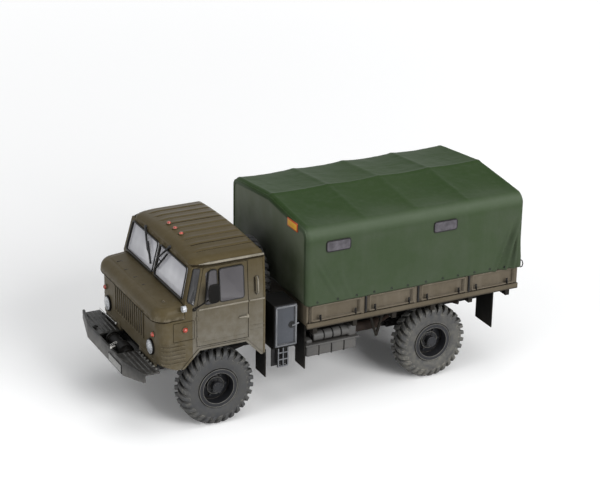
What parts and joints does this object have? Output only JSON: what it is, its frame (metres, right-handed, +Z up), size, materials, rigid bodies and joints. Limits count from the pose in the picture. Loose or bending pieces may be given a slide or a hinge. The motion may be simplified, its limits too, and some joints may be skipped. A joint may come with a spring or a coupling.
{
  "type": "scale model military cargo truck",
  "caption": "Display model of a forward-control off-road cargo truck with a canvas-covered bed; its wheels roll and its front wheels steer.",
  "frame": {"origin": "on the ground under the middle of the overall box", "axes": "+X forward, +Y to the truck's left, +Z up"},
  "size_m": [0.166, 0.0712, 0.0779],
  "materials": {
    "cab_paint": "satin brown-olive model paint",
    "bed_paint": "satin brown-olive model paint, weathered",
    "canvas": "satin green moulded as a canvas cover",
    "chassis_black": "satin black paint",
    "exhaust_brown": "rust-brown paint",
    "box_grey": "worn grey paint",
    "rim_grey": "satin dark grey paint",
    "tyre": "soft vinyl, dusty",
    "clear": "clear styrene",
    "lamp_silver": "silver lens",
    "lamp_orange": "clear orange",
    "plate": "blank plate",
    "seat_brown": "satin brown"
  },
  "bodies": {
    "truck": {"chassis_frame": "chassis_black", "front_bumper": "chassis_black", "tow_hooks": "chassis_black", "winch": "chassis_black", "front_axle": "chassis_black", "rear_axle": "chassis_black", "leaf_springs": "chassis_black", "engine": "chassis_black", "transfer_case": "chassis_black", "drive_shafts": "chassis_black", "exhaust": "exhaust_brown", "fuel_tanks": "box_grey", "stowage_box": "chassis_black", "box_door": "box_grey", "spare_carrier": "chassis_black", "spare_rim": "rim_grey", "spare_tyre": "tyre", "mudflaps": "chassis_black", "cab_floor": "cab_paint", "cab_front": "cab_paint", "cab_side_left": "cab_paint", "cab_side_right": "cab_paint", "cab_back": "cab_paint", "cab_roof": "cab_paint", "front_lid": "cab_paint", "grille": "cab_paint", "door_left": "cab_paint", "door_right": "cab_paint", "cab_glass": "clear", "wipers": "chassis_black", "mirrors": "chassis_black", "lamp_bezels": "chassis_black", "headlamps": "lamp_silver", "marker_lamps": "lamp_orange", "engine_cover": "cab_paint", "seats": "seat_brown", "dashboard": "cab_paint", "bed_floor": "bed_paint", "board_left": "bed_paint", "board_right": "bed_paint", "board_front": "bed_paint", "tailgate": "bed_paint", "canvas_cover": "canvas", "canvas_front": "canvas", "canvas_rear": "canvas", "canvas_windows": "clear", "rear_lamps": "lamp_orange", "blank_plates": "plate"},
    "knuckle_left": {"knuckle_left": "chassis_black"},
    "knuckle_right": {"knuckle_right": "chassis_black"},
    "tie_rod": {"tie_rod": "chassis_black"},
    "wheel_front_left": {"tyre_front_left": "tyre", "rim_front_left": "rim_grey"},
    "wheel_front_right": {"tyre_front_right": "tyre", "rim_front_right": "rim_grey"},
    "wheel_rear_left": {"tyre_rear_left": "tyre", "rim_rear_left": "rim_grey"},
    "wheel_rear_right": {"tyre_rear_right": "tyre", "rim_rear_right": "rim_grey"}
  },
  "joints": [
    {"name": "steer_left", "type": "hinge", "parent": "truck", "child": "knuckle_left", "pos_m": [0.0486, 0.0197, 0.0152], "axis": [0, 0, 1], "range_deg": [-28, 28]},
    {"name": "steer_right", "type": "hinge", "parent": "truck", "child": "knuckle_right", "pos_m": [0.0486, -0.0197, 0.0152], "axis": [0, 0, 1], "range_deg": [-28, 28]},
    {"name": "tie_rod_pivot", "type": "hinge", "parent": "knuckle_left", "child": "tie_rod", "pos_m": [0.0418, 0.0197, 0.0106], "axis": [0, 0, 1], "range_deg": [-28, 28]},
    {"name": "spin_front_left", "type": "hinge", "parent": "knuckle_left", "child": "wheel_front_left", "pos_m": [0.0486, 0.0257, 0.0152], "axis": [0, 1, 0], "continuous": true},
    {"name": "spin_front_right", "type": "hinge", "parent": "knuckle_right", "child": "wheel_front_right", "pos_m": [0.0486, -0.0257, 0.0152], "axis": [0, 1, 0], "continuous": true},
    {"name": "spin_rear_left", "type": "hinge", "parent": "truck", "child": "wheel_rear_left", "pos_m": [-0.0457, 0.025, 0.0152], "axis": [0, 1, 0], "continuous": true},
    {"name": "spin_rear_right", "type": "hinge", "parent": "truck", "child": "wheel_rear_right", "pos_m": [-0.0457, -0.025, 0.0152], "axis": [0, 1, 0], "continuous": true}
  ],
  "couplings": [
    {"joint": "steer_right", "follows": "steer_left", "ratio": 1},
    {"joint": "tie_rod_pivot", "follows": "steer_left", "ratio": -1}
  ]
}
